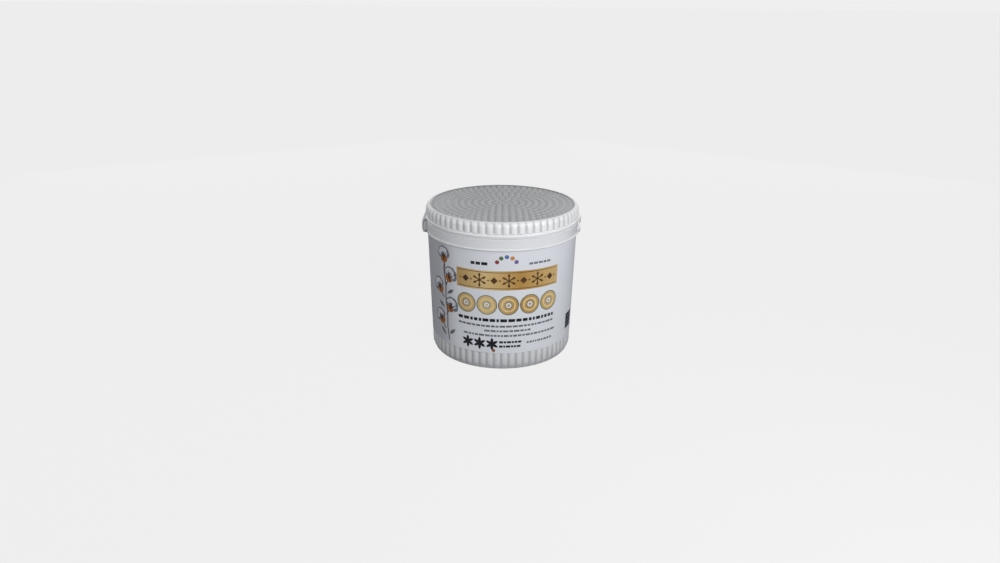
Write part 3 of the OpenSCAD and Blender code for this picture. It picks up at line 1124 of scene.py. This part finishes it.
random.seed(11)
for ink, start, stop, height, thick, dash, gap in (
    (BLACK, -16, -7, 60.2, 1.6, 2.2, 0.6),
    (GREY, 14, 27, 60.0, 1.1, 2.2, 0.5),
    (BLACK, -24, 31, 29.0, 1.7, 2.4, 0.7),
    (GREY, -24, 31, 25.6, 1.1, 2.0, 0.5),
    (GREY, -9, 16, 22.9, 1.1, 2.0, 0.5),
    (GREY, -21, 32, 20.2, 1.1, 2.0, 0.5),
    (BLACK, -1, 11, 16.5, 1.2, 1.6, 0.4),
    (BLACK, -1, 11, 14.0, 1.2, 1.6, 0.4),
    (GREY, 14, 31, 15.6, 1.1, 1.6, 0.5),
):
    dash_row(ink, start, stop, height, thick, dash, gap)
for height in range(21, 37, 3):
    dash_row(GREY, -64, -52, height, 0.9, 2.4, 0.6)
for along in (-18.5, -11.7, -4.9):
    swab_star(0, BLACK, along, STAR_RISE, 5.2, 1.5)
mark(0, disc, RUST, -4, 11.6, 1.9, 1.9)
mark(0, square, BLACK, PANEL_ALONG, PANEL_RISE, 8.4, 9)
for rise in (-2.5, 0, 2.5):
    mark(1, square, GREY, PANEL_ALONG, PANEL_RISE + rise, 6.4, 0.9)
print(sum(len(layer) for layer in layers), "marks so far")

# %% [markdown]
# ### The sprig
# A plain sprig with five white puffs stands left of the band. Each puff is a ring of five
# shaded discs with lighter discs on them, in a rust cup with three dark leaves. Building it
# from the same few stencils keeps it flat, so it wraps round the wall with the rest.

# %% Sprig
STEM = [(-31.5, 12.5), (-32.5, 20), (-32.2, 28), (-33.2, 36), (-32.8, 44), (-34.0, 52), (-33.5, 57)]
PUFFS = [(-38.5, 24.5, 125), (-28.8, 33.5, 58), (-39.0, 42.5, 125), (-29.2, 50.5, 62), (-33.8, 61, 95)]
LEAVES = [(-28.8, 18.0, 40), (-36.2, 16.5, 140), (-36.8, 32, 150), (-29.4, 41, 35)]

for foot, head in zip(STEM, STEM[1:]):
    run, rise = head[0] - foot[0], head[1] - foot[1]
    lean = math.degrees(math.atan2(rise, run))
    middle = (foot[0] + run / 2, foot[1] + rise / 2)
    mark(0, square, BROWN, *middle, math.hypot(run, rise) + 0.3, 0.7, lean)
for along, height, lean in PUFFS:
    middle = Vector((along, height))
    foot = middle - 2.4 * heading(lean)
    mark(0, square, BROWN, *(middle - 5.2 * heading(lean)), 4.6, 0.7, lean)
    mark(1, disc, RUST, *foot, 4.2, 5.4, lean)
    for j in range(5):
        lobe = 2.6 * heading(lean + (j - 2) * 42)
        mark(2, disc, SHADE, *(middle + lobe), 4.3, 4.3)
        mark(3, disc, PUFF, *(middle + 0.85 * lobe + Vector((-0.4, 0.4))), 2.6, 2.6)
    for side in (-30, 0, 30):
        mark(4, leaf, BROWN, *(foot + 1.7 * heading(lean + side)), 3.8, 0.9, lean + side)
for along, height, turn in LEAVES:
    mark(1, leaf, GREY, along, height, 4.6, 1.9, turn)
print(sum(len(layer) for layer in layers), "marks in all")

# %% [markdown]
# ### Wrapping the print round the wall
# The flat marks of one layer become one mesh. It is cut into columns 2.5 mm wide, because
# only a vertex can bend, and a Simple Deform rolls it to a tube of the wall's mean radius.
# Shrinkwrap then lays it on the tapered film. Each layer is lifted a little more than the
# one below it, so that ink on ink never shares a surface.

# %% Wrapping
WRAP_R = 40 * MM
CUT_EVERY = 2.5
FIRST_LIFT = 0.03
LAYER_LIFT = 0.012


def wrap(marks, name, lift):
    """Cuts flat marks into narrow columns and rolls them on to the film, lifted by lift mm."""
    sheet = join(marks, name)
    bpy.ops.object.mode_set(mode="EDIT")
    reach = int(max(abs(v.co.x) for v in sheet.data.vertices) / MM / CUT_EVERY)
    for i in range(-reach, reach + 1):
        bpy.ops.mesh.select_all(action="SELECT")
        bpy.ops.mesh.bisect(plane_co=(i * CUT_EVERY * MM, 0, 0), plane_no=(1, 0, 0))
    bpy.ops.object.mode_set(mode="OBJECT")
    span = [v.co.x for v in sheet.data.vertices]
    angle = (max(span) - min(span)) / WRAP_R
    apply_modifier(sheet, "SIMPLE_DEFORM", deform_method="BEND", deform_axis="Z", angle=angle)
    bpy.ops.transform.translate(value=(0, -WRAP_R, 0))
    bpy.ops.object.transform_apply(location=True, rotation=False, scale=False)
    apply_modifier(
        sheet,
        "SHRINKWRAP",
        target=label_film,
        wrap_method="NEAREST_SURFACEPOINT",
        wrap_mode="ABOVE_SURFACE",
        offset=lift * MM,
    )
    bpy.ops.object.shade_smooth_by_angle(angle=SMOOTH_UP_TO)
    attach(sheet, "tub_body")
    print(name, "has", len(sheet.data.polygons), "faces")


for i, layer in enumerate(layers):
    wrap(layer, f"label_print_{i + 1}", FIRST_LIFT + i * LAYER_LIFT)
for shape in stencils:
    bpy.data.objects.remove(shape)

# %% Film thickness
FILM_THICKNESS = 0.2 * MM

apply_modifier(label_film, "SOLIDIFY", thickness=FILM_THICKNESS, offset=-1)
select_only(label_film)
bpy.ops.object.shade_smooth_by_angle(angle=SMOOTH_UP_TO)
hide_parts("label")
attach(label_film, "tub_body")
print("film has", len(label_film.data.polygons), "faces")

# %% [markdown]
# ## The swabs
# A cotton swab is a stick of tightly rolled paper with cotton wound round both ends. All
# hundred are alike, so one tip and one stick are modelled and then copied to the places of
# the bundle: a sunflower spiral, as in the CAD model, which packs round tips evenly in a
# round tub. A tip is the lower half of a sphere whose open rim is extruded up and narrowed
# to the stick, with few faces because it is repeated so often. Fibres of cotton and paper
# are about 0.02 mm thick and would not show, so they are drawn about a millimetre wide: as
# wisps with a soft sheen on the cotton, and as faint patches on the dull paper.

# %% Cotton and paper
def wound_cotton():
    """Fluffy white cotton, wound dry on the stick."""
    material, tree, place, surface = new_material("wound_cotton")
    wisps, colour = clouded(tree, place, 0.9, 5.0, "#ecebe6", "#fdfcf9")
    fluff = add_node(tree, "ShaderNodeBump", {"Height": wisps, "Strength": 0.6, "Distance": 0.3 * MM})
    looks = {
        "Base Color": colour,
        "Normal": fluff.outputs["Normal"],
        "Roughness": 0.95,
        "Specular IOR Level": 0.2,
        "Sheen Weight": 0.3,
        "Sheen Roughness": 0.6,
    }
    set_inputs(tree, surface, looks)
    return material


def rolled_paper():
    """Dull off-white paper, rolled tight."""
    material, tree, place, surface = new_material("rolled_paper")
    colour = clouded(tree, place, 1.5, 3.0, "#e9e8e2", "#f6f5f0")[1]
    set_inputs(tree, surface, {"Base Color": colour, "Roughness": 0.7})
    return material


cotton = wound_cotton()
paper_roll = rolled_paper()
print(len(bpy.data.materials), "materials")

# %% One cotton tip
TIP_SIDES = 10
TIP_BELLY_R = 2.7 * MM
TIP_LENGTH = 15 * MM
STICK_R = 1.25 * MM
COTTON_EDGE = 0.15 * MM
SOFT_TURN = math.radians(60)
WAIST = 0.86

swab_foot, swab_top = (corner.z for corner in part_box("swab_tips"))

select_only()
bpy.ops.mesh.primitive_uv_sphere_add(
    segments=TIP_SIDES, ring_count=6, radius=TIP_BELLY_R, location=(0, 0, TIP_BELLY_R)
)
cotton_tip = join([bpy.context.object], "cotton_tip")
bpy.ops.object.mode_set(mode="EDIT")
bpy.ops.mesh.select_all(action="SELECT")
bpy.ops.mesh.bisect(plane_co=(0, 0, TIP_BELLY_R), plane_no=(0, 0, 1), clear_outer=True)
select_vertices(cotton_tip, lambda co: co.z > TIP_BELLY_R - HAIR)
for rise, narrowing in ((0.45, WAIST), (0.55, (STICK_R + COTTON_EDGE) / TIP_BELLY_R / WAIST)):
    bpy.ops.mesh.extrude_region_move(
        TRANSFORM_OT_translate={"value": (0, 0, rise * (TIP_LENGTH - TIP_BELLY_R))}
    )
    bpy.ops.transform.resize(value=(narrowing, narrowing, 1), center_override=(0, 0, 0))
bpy.ops.mesh.edge_face_add()
bpy.ops.mesh.select_all(action="SELECT")
bpy.ops.mesh.normals_make_consistent(inside=False)
bpy.ops.object.mode_set(mode="OBJECT")
bpy.ops.object.shade_smooth_by_angle(angle=SOFT_TURN)
cotton_tip.data.materials.append(cotton)
print("one tip has", len(cotton_tip.data.polygons), "faces")

# %% One stick
TIP_COVER = 2 * MM

select_only()
bpy.ops.mesh.primitive_cylinder_add(
    vertices=TIP_SIDES,
    radius=STICK_R,
    depth=swab_top - swab_foot - 2 * TIP_COVER,
    location=(0, 0, (swab_top + swab_foot) / 2),
)
paper_stick = join([bpy.context.object], "paper_stick")
bpy.ops.object.shade_smooth_by_angle(angle=SOFT_TURN)
paper_stick.data.materials.append(paper_roll)
print("one stick has", len(paper_stick.data.polygons), "faces")

# %% The bundle
GOLDEN_TURN = math.radians(137.508)
FIRST_SEED = 1.5
SWAB_GAP = 0.25 * MM
CLOSEST_SEEDS = 1.64
SPREAD = (2 * TIP_BELLY_R + SWAB_GAP) / CLOSEST_SEEDS
SWAB_COUNT = 100

random.seed(7)
upside_down = Matrix.Rotation(math.pi, 4, "X")
tips = []
sticks = []
for i in range(SWAB_COUNT):
    reach = SPREAD * math.sqrt(i + FIRST_SEED)
    at = Vector((reach * math.cos(i * GOLDEN_TURN), reach * math.sin(i * GOLDEN_TURN), 0))
    turned = Matrix.Rotation(random.uniform(0, math.tau), 4, "Z")
    for source, copies, place in (
        (paper_stick, sticks, Matrix.Translation(at) @ turned),
        (cotton_tip, tips, Matrix.Translation(at + Vector((0, 0, swab_foot))) @ turned),
        (cotton_tip, tips, Matrix.Translation(at + Vector((0, 0, swab_top))) @ turned @ upside_down),
    ):
        copies.append(copy_to(source, place))
for source in (paper_stick, cotton_tip):
    bpy.data.objects.remove(source)
for copies, name, node, slot in (
    (tips, "cotton_tips", "swab_tips", "cotton"),
    (sticks, "paper_sticks", "swab_sticks", "stick_paper"),
):
    bundle = join(copies, name)
    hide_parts(node)
    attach(bundle, "tub_body")
    print(name, "has", len(bundle.data.polygons), "faces")
